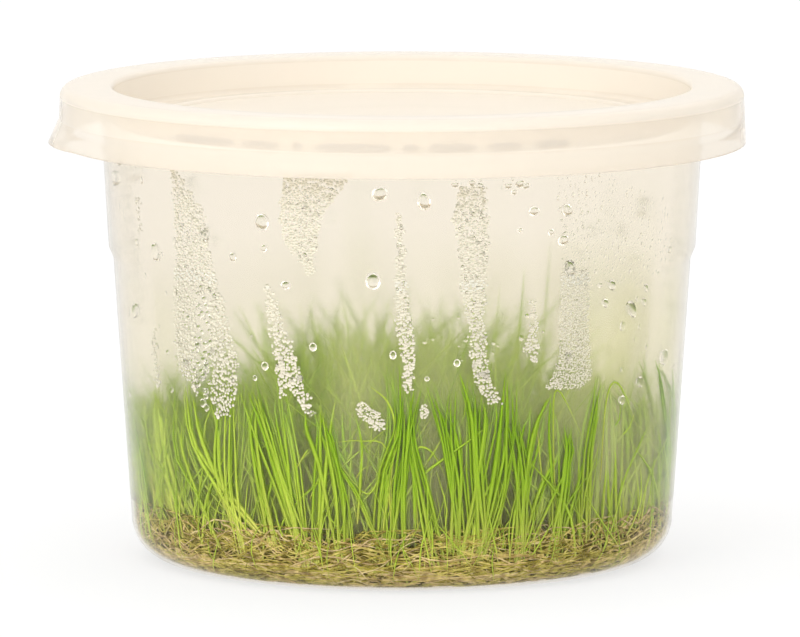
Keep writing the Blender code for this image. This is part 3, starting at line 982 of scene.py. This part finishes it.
for _ in range(SHOOTS):
    turn = meadow.uniform(0, math.tau)
    girth = meadow.uniform(*SHOOT_GIRTH)
    reach = SHOOT_REACH - meadow.random() ** 1.5 * SHOOT_RING
    foot = around(reach, turn, meadow.uniform(*SHOOT_FOOT))
    lean = scattered(SHOOT_LEAN, 1)
    bend = scattered(SHOOT_BEND, 0)
    length = meadow.uniform(*SHOOT_LENGTH)
    points = [foot, foot + (lean + bend) * length * 0.5, foot + lean * length]
    plant(points, girth, meadow.uniform(*SHOOT_TONE), SHOOT_STEPS)
for _ in range(LEANING_BLADES):
    turn = meadow.uniform(0, math.tau)
    reach = LEANING_REACH - meadow.random() * LEANING_RING
    foot = around(reach, turn, meadow.uniform(*LEANING_FOOT))
    slant = held(meadow.gauss(0, LEANING_SLANT[0]), -LEANING_SLANT[1], LEANING_SLANT[1])
    lean = Vector((-slant * math.sin(turn), slant * math.cos(turn), 1))
    length = meadow.uniform(*LEANING_LENGTH)
    droop = Vector((-math.sin(turn), math.cos(turn), 0)) * slant * length * LEANING_DROOP
    points = [foot, foot + lean * length * 0.5 - droop, foot + lean * length + droop]
    girth = meadow.uniform(*BLADE_GIRTH) * LEANING_GIRTH
    plant(points, girth, meadow.uniform(*LEANING_TONE))
for girth, tone, *stations in STRAY_BLADES:
    plant([seen_at(column, row, STRAY_DEPTH) for column, row in stations], girth, tone, STRAY_STEPS)
for girth, tone, *stations in BACK_BLADES:
    plant([seen_at(column, row, BACK_DEPTH) for column, row in stations], girth, tone, BACK_STEPS)

clumps = []
for _ in range(LAWN_TRIES):
    reach = LAWN_RADIUS * math.sqrt(meadow.random())
    foot = around(reach, meadow.uniform(0, math.tau))
    in_front = foot.y < 0 and reach > LAWN_RADIUS - FRONT_STRIP and abs(foot.x) < FRONT_HALF_WIDTH
    if not in_front and all((foot - other).length >= CLUMP_SPACING * CLOSEST_CLUMPS for other in clumps):
        clumps.append(foot)
upwards = Vector((0, 0, 1))
for foot in clumps:
    clump_lean = scattered(CLUMP_LEAN, 0)
    tallness = meadow.uniform(*CLUMP_HEIGHT)
    tallness *= 1.0 - SHOULDER_DROP * share_past(abs(foot.x - LAWN_MIDDLE), *LAWN_SHOULDERS)
    for _ in range(meadow.randint(*CLUMP_BLADES)):
        fan = meadow.uniform(0, math.tau)
        lean = math.tan(CLUMP_FAN) * math.sqrt(meadow.random())
        out = around(1, fan) * lean + clump_lean
        length = meadow.uniform(*BLADE_LENGTH) * tallness
        start = foot + around(1, fan) * CLUMP_RADIUS + Vector((0, 0, meadow.uniform(*CLUMP_FOOT)))
        bend = scattered(CLUMP_BEND, 0)
        middle = start + (out * LAWN_CURVE[0][0] + bend * LAWN_CURVE[0][1] + upwards) * length * 0.5
        tip = start + (out * LAWN_CURVE[1][0] + bend * LAWN_CURVE[1][1] + upwards) * length
        girth = meadow.uniform(*BLADE_GIRTH) * CLUMP_GIRTH
        plant([start, middle, tip], girth, meadow.uniform(*CLUMP_TONE))
for node, grown in blades.items():
    tuft = grow(
        "blades_" + node, guide_lines(node + "_guide", grown), strand_way,
        Sides=BLADE_SIDES, Flatness=BLADE_FLATNESS, Material=grass_paint,
    )
    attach(tuft, "root")
    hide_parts(node)


# Fog: the finest dew on the inside of the wall, as two thin films, one near the wall and one farther
# in, so that they veil what stands back from the wall but not the blades that touch it. It thins
# out in streaks where drops have run down.
FOG_DEPTHS = (0.0009, 0.0060)
FOG_THICKNESS = 0.00004
FOG_FOOT = 0.0085
FOG_TOP = 0.0735
FOG_STEPS = 10
FOG_COLOUR = (0.75, 0.79, 0.50, 1)
fog_paint, fog_shader = new_material("fog", Roughness=0.9, Specular_IOR_Level=0.0, Base_Color=FOG_COLOUR)
fog_streaks = grain(fog_paint, 1.0, (90, 90, 14), 1.0)
fog_cover = ramp(fog_paint, fog_streaks, (0.36, 0.20), (0.62, 0.50))
fog_height = ramp(
    fog_paint, reads(fog_paint, "along"),
    (0.0, 0.28), (0.12, 0.42), (0.40, 0.5), (0.52, 0.42), (0.66, 0.08), (0.85, 0.02), (1.0, 0.0),
)
fog_sides = ramp(
    fog_paint, reads(fog_paint, "across"),
    (0.0, 0.28), (0.22, 0.23), (0.40, 0.37), (0.72, 0.34), (0.86, 0.85),
)
fog_spread = blend_colours(fog_paint, "MULTIPLY", 1.0, fog_height, fog_sides)
fog_share = blend_colours(fog_paint, "MULTIPLY", 1.0, fog_cover, fog_spread)
join(fog_paint, (fog_share, fog_shader.inputs["Alpha"]))

fog_levels = [FOG_TOP + (FOG_FOOT - FOG_TOP) * step / FOG_STEPS for step in range(FOG_STEPS + 1)]
for number, depth in enumerate(FOG_DEPTHS):
    fog_profile = [(room_radius(z, depth), z) for z in fog_levels]
    fog_profile += [(room_radius(z, depth + FOG_THICKNESS), z) for z in reversed(fog_levels)]
    fog_mesh = turned_mesh(f"fog_{number}", fog_profile, ring=True)
    rises = [(vertex.co.z - FOG_FOOT) / (FOG_TOP - FOG_FOOT) for vertex in fog_mesh.vertices]
    sides = [vertex.co.x / COLLAR_RADIUS / 2 + 0.5 for vertex in fog_mesh.vertices]
    fog_mesh.attributes.new("along", "FLOAT", "POINT").data.foreach_set("value", rises)
    fog_mesh.attributes.new("across", "FLOAT", "POINT").data.foreach_set("value", sides)
    fog = add_piece(f"fog_{number}", fog_mesh, fog_paint)
    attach(fog, "root")


# Dew: beads of condensed water on the inside of the wall, in streaks with clear wall between.
# They cling by themselves; the biggest gather in a row down the middle of the widest streak.
BEAD_GAP = 0.00002
DROP_ANGLE = math.radians(88)
FLAT_ANGLE = math.radians(42)
PIXELS_PER_METRE = 6000.0
WATER_BEND = 1.333
# A streak's beads: the gap between rows, how far beads and edges stray, the share and size of the
# big ones, their height for their width, and how far they lean.
ROW_GAP = 0.88
BEAD_STRAY = (0.35, 0.6)
BIG_BEADS = (0.1, 1.5)
BEAD_TALLNESS = (0.9, 1.25)
BEAD_LEAN = 0.3
BEAD_FACETS, DROP_FACETS = (7, 2), (20, 5)
BEAD_SHARP_EDGE = math.radians(50)
DEW_SEED = 41
# Streaks on the near wall: bead spacing, then the left and right edge at each row, in pixels.
NEAR_STREAKS = (
    (3.7, (170, 171, 176), (215, 175, 205), (235, 175, 207), (270, 176, 214), (295, 175, 221)),
    (3.7, (295, 175, 198), (330, 174, 196), (366, 178, 197), (382, 190, 198), (396, 196, 199)),
    (
        3.7, (295, 210, 221), (330, 210, 230), (366, 212, 239), (382, 212, 238), (398, 212, 234),
        (416, 217, 229),
    ),
    (
        3.9, (287, 265, 268), (300, 266, 276), (330, 270, 285), (345, 272, 292), (370, 277, 299),
        (415, 309, 316),
    ),
    (3.4, (365, 276, 286), (396, 280, 285)),
    (
        3.6, (176, 284, 350), (190, 282, 342), (215, 280, 322), (240, 283, 317), (255, 295, 315),
        (276, 308, 313),
    ),
    (
        3.5, (215, 396, 401), (250, 397, 404), (290, 395, 407), (330, 396, 413), (365, 404, 415),
        (391, 402, 412),
    ),
    (
        3.6, (188, 457, 486), (225, 453, 489), (240, 459, 488), (290, 461, 486), (320, 468, 484),
        (355, 471, 488),
    ),
    (3.3, (355, 471, 485), (382, 475, 492), (404, 489, 503)),
    (3.4, (300, 531, 534), (325, 529, 537), (350, 524, 538), (362, 530, 537)),
    (2.3, (268, 562, 590), (320, 559, 588), (360, 559, 590), (376, 552, 592), (389, 545, 580)),
    (3.0, (330, 153, 155), (350, 153, 158), (388, 157, 161)),
    (3.0, (198, 136, 140), (232, 139, 142)),
    (2.8, (405, 421, 425), (411, 420, 429), (418, 422, 427)),
    (2.8, (404, 357, 368), (414, 357, 380), (422, 366, 384), (431, 374, 384)),
)
NEAR_FILL = (0.74, 0.97, (0.85, 1.2))
CLEAR_SHARE = 0.13
# The row of bigger beads down the widest streak, and loose fields: spacing and share kept.
MIDDLE_ROW = (6.4, (286, 199, 209), (330, 196, 210), (372, 197, 212), (408, 200, 211))
MIDDLE_FILL = (0.94, (0.75, 1.1))
LOOSE_SIZES = (0.35, 0.75)
LOOSE_FIELDS = (
    (4.4, 0.55, (176, 555, 612), (200, 560, 672), (240, 562, 676), (270, 566, 660), (286, 575, 640)),
    (3.6, 0.60, (206, 560, 590), (268, 562, 590)),
    (5.0, 0.25, (172, 452, 530), (190, 455, 512)),
    (8.0, 0.12, (300, 420, 560), (370, 425, 560)),
    (9.0, 0.12, (330, 235, 275), (385, 245, 275)),
    (8.0, 0.10, (180, 110, 170), (330, 116, 172)),
    (9.0, 0.12, (240, 625, 682), (400, 620, 670)),
    (4.0, 0.40, (196, 118, 128), (262, 121, 131)),
)
# Large drops on the near wall: column, row, width and height in pixels, and lean in degrees.
LARGE_DROPS = (
    (262, 222, 15, 18, 20), (155, 252, 10, 19, 5), (373, 281, 16, 18, 0), (424, 201, 14, 19, 12),
    (380, 194, 17, 15, 30), (286, 285, 11, 9, 10), (233, 257, 8, 10, 20), (264, 248, 7, 8, 0),
    (313, 347, 8, 9, 0), (393, 355, 7, 9, 0), (265, 366, 8, 9, 0), (255, 378, 5, 6, 0),
    (457, 363, 7, 8, 0), (427, 379, 5, 5, 0), (534, 211, 12, 10, 0), (567, 210, 12, 14, 40),
    (563, 240, 13, 11, 20), (570, 268, 13, 17, 10), (520, 230, 6, 5, 0), (551, 232, 7, 7, 0),
    (612, 285, 9, 12, 30), (605, 303, 8, 10, 30), (600, 285, 6, 5, 0), (632, 309, 11, 20, 30),
    (646, 288, 5, 9, 20), (644, 302, 6, 9, 20), (640, 382, 8, 12, 20), (622, 400, 9, 10, 20),
    (568, 356, 8, 9, 0), (186, 363, 9, 9, 0), (203, 403, 8, 9, 0), (198, 384, 7, 8, 0),
    (205, 368, 6, 7, 0), (172, 139, 9, 9, 0), (138, 160, 4, 8, 0), (472, 183, 8, 6, 0),
    (480, 186, 7, 6, 0), (508, 186, 9, 6, 0), (520, 184, 10, 7, 20), (514, 192, 7, 6, 0),
    (526, 186, 8, 6, 20), (455, 185, 8, 5, 0), (300, 378, 7, 7, 0), (282, 360, 6, 6, 0),
    (486, 375, 8, 9, 0), (130, 395, 4, 5, 0), (172, 390, 4, 6, 0), (168, 352, 4, 5, 0),
    (205, 235, 10, 14, 0),
)
# Streaks on the far wall: angles in degrees from the near side, then tops, lengths, half widths,
# drift in radians and bead sizes as shares of the spacing.
NEAR_SIDE = -90
FAR_STREAKS = 6
FAR_SPACING = 0.00088
FAR_START, FAR_ARC = 96, 172
FAR_TOPS = (0.060, 0.073)
FAR_LENGTHS = (0.016, 0.040)
FAR_HALF_WIDTHS = (0.0006, 0.0026)
FAR_DRIFT = 0.05
FAR_STRAY = 0.3
FAR_PLACES = (0.1, 0.9)
FAR_EDGES = (0.85, 1.15)
FAR_SHOULDER, FAR_TIP = (0.35, 2), (0.25, 2.2)
FAR_SIZES = (0.7, 1.0)
WALL_RADIUS = 0.049
# Drops on the far wall: angles in degrees from the near side, heights, widths and tallness.
FAR_DROPS = 34
FAR_DROP_ANGLES = (62, 298)
FAR_DROP_HEIGHTS = (0.030, 0.072)
FAR_DROP_WIDTHS = (0.0008, 0.0024)
FAR_DROP_TALLNESS = (1.0, 1.7)


def dome_mesh(name, sides, rings, angle):
    """Makes a closed cap of a sphere, of unit radius, that stands on the XY plane, its flat side down."""
    shape = bmesh.new()
    rows = []
    for ring in range(rings):
        tilt = angle * (1 - ring / rings)
        reach = math.sin(tilt) / math.sin(angle)
        height = (math.cos(tilt) - math.cos(angle)) / math.sin(angle)
        turns = [math.tau * side / sides for side in range(sides)]
        rows.append([shape.verts.new(around(reach, turn, height)) for turn in turns])
    peak = shape.verts.new((0, 0, (1 - math.cos(angle)) / math.sin(angle)))
    for side in range(sides):
        after = (side + 1) % sides
        for lower, upper in zip(rows, rows[1:]):
            shape.faces.new((lower[side], lower[after], upper[after], upper[side]))
        shape.faces.new((rows[-1][side], rows[-1][after], peak))
    shape.faces.new(list(reversed(rows[0])))
    mesh = finish_mesh(name, shape, BEAD_SHARP_EDGE)
    # Height across the bead, from its lower to its upper edge, which the fine dew's painted refraction reads.
    rises = [(vertex.co.y + 1) / 2 for vertex in mesh.vertices]
    mesh.attributes.new("rise", "FLOAT", "POINT").data.foreach_set("value", rises)
    return mesh


def bead_tree():
    """Builds the tree that sets a copy of one bead on each point, turned to face inwards."""
    tree, given, result = new_tree("beads", Bead="Object", Material="Material")
    model = tree.nodes.new("GeometryNodeObjectInfo")
    face = tree.nodes.new("FunctionNodeAxesToRotation")
    copies = tree.nodes.new("GeometryNodeInstanceOnPoints")
    real = tree.nodes.new("GeometryNodeRealizeInstances")
    paint = tree.nodes.new("GeometryNodeSetMaterial")
    tree.links.new(given.outputs["Bead"], model.inputs["Object"])
    tree.links.new(model.outputs["Geometry"], copies.inputs["Instance"])
    tree.links.new(named(tree, "inward", "FLOAT_VECTOR"), face.inputs["Primary Axis"])
    tree.links.new(named(tree, "upright", "FLOAT_VECTOR"), face.inputs["Secondary Axis"])
    tree.links.new(face.outputs["Rotation"], copies.inputs["Rotation"])
    tree.links.new(named(tree, "bead_size", "FLOAT_VECTOR"), copies.inputs["Scale"])
    tree.links.new(given.outputs["Material"], paint.inputs["Material"])
    face.primary_axis = "Z"
    face.secondary_axis = "Y"
    link_chain(tree, given, copies, real, paint, result)
    return tree


def bead_points(name, beads):
    """Makes the guide mesh of bead places; each bead is (place, width, height, lean in radians)."""
    guide = bpy.data.meshes.new(name)
    guide.from_pydata([bead[0] for bead in beads], [], [])
    inward, upright, sizes = [], [], []
    for place, width, height, lean in beads:
        turn = math.atan2(place.y, place.x)
        slope = (COLLAR_RADIUS - COLLAR_STEP - FOOT_RADIUS) / (COLLAR_FOOT_Z - CORNER_RADIUS)
        inward.extend(around(-1, turn, slope).normalized())
        sideways = Vector((-math.sin(turn), math.cos(turn), 0))
        upright.extend(Vector((0, 0, math.cos(lean))) + sideways * math.sin(lean))
        sizes += (width / 2, height / 2, math.sqrt(width * height) / 2)
    for label, values in (("inward", inward), ("upright", upright), ("bead_size", sizes)):
        guide.attributes.new(label, "FLOAT_VECTOR", "POINT").data.foreach_set("vector", values)
    return guide


def edges_at(rows, row):
    """Returns the left and right edge of a streak at this row of pixels."""
    for (low, left_low, right_low), (high, left_high, right_high) in zip(rows, rows[1:]):
        if row <= high:
            share = (row - low) / (high - low)
            return left_low + (left_high - left_low) * share, right_low + (right_high - right_low) * share
    return rows[-1][1:]


def fill_streak(spacing, kept, rows, sizes):
    """Returns beads that fill a streak of the near wall, row by row."""
    across, down = BEAD_STRAY
    beads = []
    row = rows[0][0]
    while row < rows[-1][0]:
        left, right = [edge + dew.uniform(-down, down) * spacing for edge in edges_at(rows, row)]
        column = left + dew.random() * spacing
        while column < right:
            if dew.random() < kept:
                aside = column + dew.uniform(-across, across) * spacing
                place = seen_at(aside, row + dew.uniform(-down, down) * spacing, BEAD_GAP)
                width = spacing * dew.uniform(*sizes)
                width = width * (BIG_BEADS[1] if dew.random() < BIG_BEADS[0] else 1.0) / PIXELS_PER_METRE
                height = width * dew.uniform(*BEAD_TALLNESS)
                beads.append((place, width, height, dew.uniform(-BEAD_LEAN, BEAD_LEAN)))
            column += spacing
        row += spacing * ROW_GAP
    return beads


def wall_point(turn, height):
    """Returns the point on the inside of the tub's wall at this angle and height."""
    return around(tub_inner_radius(height) - BEAD_GAP, turn, height)


dew = random.Random(DEW_SEED)
water, _ = new_material(
    "water", Roughness=0.02, Base_Color=(0.985, 0.995, 0.985, 1), IOR=WATER_BEND, Transmission_Weight=1.0,
)
fine_dew, fine_shader = new_material("fine_dew", Roughness=0.05, IOR=WATER_BEND, Transmission_Weight=0.22)
# Fine dew is coloured by height on each bead: white low down and dark near the top. This is painted
# refraction and painted highlight, standing in for the bright lid and the dark grass that a real drop shows
# upside down.
bead_painted_refraction = ramp(
    fine_dew, reads(fine_dew, "rise"),
    (0.0, (0.99, 1.0, 0.95)), (0.55, (0.98, 1.0, 0.95)), (0.8, (0.58, 0.59, 0.50)), (1.0, (0.82, 0.83, 0.76)),
)
join(fine_dew, (bead_painted_refraction, fine_shader.inputs["Base Color"]))
bead_way = bead_tree()
small_bead = bpy.data.objects.new("small_bead", dome_mesh("small_bead", *BEAD_FACETS, DROP_ANGLE))
flat_bead = bpy.data.objects.new("flat_bead", dome_mesh("flat_bead", *BEAD_FACETS, FLAT_ANGLE))
large_bead = bpy.data.objects.new("large_bead", dome_mesh("large_bead", *DROP_FACETS, DROP_ANGLE))

near_beads = []
clear_beads = []
spacing_share, kept, sizes = NEAR_FILL
for spacing, *rows in NEAR_STREAKS:
    for bead in fill_streak(spacing * spacing_share, kept, rows, sizes):
        (clear_beads if dew.random() < CLEAR_SHARE else near_beads).append(bead)
loose_beads = []
for spacing, kept, *rows in LOOSE_FIELDS:
    loose_beads += fill_streak(spacing, kept, rows, LOOSE_SIZES)
far_beads = []
for index in range(FAR_STREAKS):
    place = (index + dew.uniform(*FAR_PLACES)) / FAR_STREAKS
    middle = math.radians(NEAR_SIDE + FAR_START + FAR_ARC * place)
    top = dew.uniform(*FAR_TOPS)
    length = dew.uniform(*FAR_LENGTHS)
    half = dew.uniform(*FAR_HALF_WIDTHS)
    drift = dew.uniform(-FAR_DRIFT, FAR_DRIFT)
    down = 0.0
    while down < length:
        share = down / length
        narrow = min(1.0, FAR_SHOULDER[0] + FAR_SHOULDER[1] * share, FAR_TIP[0] + FAR_TIP[1] * (1 - share))
        reach = half * narrow * dew.uniform(*FAR_EDGES)
        across = -reach
        while across < reach:
            aside = across + dew.uniform(-FAR_STRAY, FAR_STRAY) * FAR_SPACING
            turn = middle + drift * share + aside / WALL_RADIUS
            width = FAR_SPACING * dew.uniform(*FAR_SIZES)
            place = wall_point(turn, top - down + dew.uniform(-FAR_STRAY, FAR_STRAY) * FAR_SPACING)
            far_beads.append((place, width, width * dew.uniform(*BEAD_TALLNESS), 0.0))
            across += FAR_SPACING
        down += FAR_SPACING * ROW_GAP
drops = fill_streak(MIDDLE_ROW[0], MIDDLE_FILL[0], MIDDLE_ROW[1:], MIDDLE_FILL[1])
for column, row, width, height, lean in LARGE_DROPS:
    place = seen_at(column, row, BEAD_GAP)
    drops.append((place, width / PIXELS_PER_METRE, height / PIXELS_PER_METRE, math.radians(-lean)))
for _ in range(FAR_DROPS):
    width = dew.uniform(*FAR_DROP_WIDTHS)
    turn = math.radians(NEAR_SIDE + dew.uniform(*FAR_DROP_ANGLES))
    place = wall_point(turn, dew.uniform(*FAR_DROP_HEIGHTS))
    height = width * dew.uniform(*FAR_DROP_TALLNESS)
    drops.append((place, width, height, dew.uniform(-BEAD_LEAN, BEAD_LEAN)))
for name, beads, model, paint in (
    ("dew_near", near_beads, small_bead, fine_dew),
    ("dew_clear", clear_beads, small_bead, water),
    ("dew_loose", loose_beads, flat_bead, water),
    ("dew_far", far_beads, flat_bead, water),
    ("drops", drops, large_bead, water),
):
    piece = grow(name, bead_points(name + "_places", beads), bead_way, Bead=model, Material=paint)
    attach(piece, "root")
for model in (small_bead, flat_bead, large_bead):
    bpy.data.objects.remove(model, do_unlink=True)


# Caught water: a thin ring of water that the narrow gap between the lid's plug and the tub's
# wall holds, broken into stretches of unlike length.
CAUGHT_LOW = 0.0752
CAUGHT_HIGH = 0.0766
CAUGHT_GAPS = (0.00006, 0.00008)
# The water's dark tan tint is painted shade, for the dark look of the narrow gap it fills.
CAUGHT_PAINTED_SHADE = (0.60, 0.50, 0.30, 1)
# Start and end of each stretch, in degrees about the axis; the near side is at 270.
CAUGHT_STRETCHES = (
    (222, 236), (238.5, 246), (249, 251), (254, 268), (270, 273), (275, 284),
    (286.5, 293), (296, 303), (20, 48), (60, 92), (101, 128), (150, 171),
)
CAUGHT_STEP = math.radians(1.5)
CAUGHT_PINCH = 0.35


def water_stretch(shape, start, end, inner, outer):
    """Adds one closed curved bar of water between two walls, narrower at its ends."""
    count = max(3, round((end - start) / CAUGHT_STEP))
    rows = []
    for step in range(count + 1):
        turn = start + (end - start) * step / count
        pinch = CAUGHT_PINCH if step in (0, count) else 1.0
        middle = (CAUGHT_LOW + CAUGHT_HIGH) / 2
        half = (CAUGHT_HIGH - CAUGHT_LOW) / 2 * pinch
        low, high = middle - half, middle + half
        corners = ((inner, low), (outer, low), (outer, high), (inner, high))
        rows.append([shape.verts.new(around(r, turn, z)) for r, z in corners])
    for first, second in zip(rows, rows[1:]):
        for side in range(4):
            after = (side + 1) % 4
            shape.faces.new((first[side], first[after], second[after], second[side]))
    shape.faces.new(list(reversed(rows[0])))
    shape.faces.new(rows[-1])


caught_shape = bmesh.new()
caught_inner = plug + CAUGHT_GAPS[0]
caught_outer = tub_inner_radius(CAUGHT_LOW) - CAUGHT_GAPS[1]
for start, end in CAUGHT_STRETCHES:
    water_stretch(caught_shape, math.radians(start), math.radians(end), caught_inner, caught_outer)
bmesh.ops.recalc_face_normals(caught_shape, faces=caught_shape.faces)
caught_mesh = bpy.data.meshes.new("caught_water")
caught_shape.to_mesh(caught_mesh)
caught_shape.free()
caught_paint, _ = new_material(
    "caught_water", Roughness=0.03, Base_Color=CAUGHT_PAINTED_SHADE, IOR=WATER_BEND, Transmission_Weight=1.0,
)
caught = add_piece("caught_water", caught_mesh, caught_paint)
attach(caught, "root")
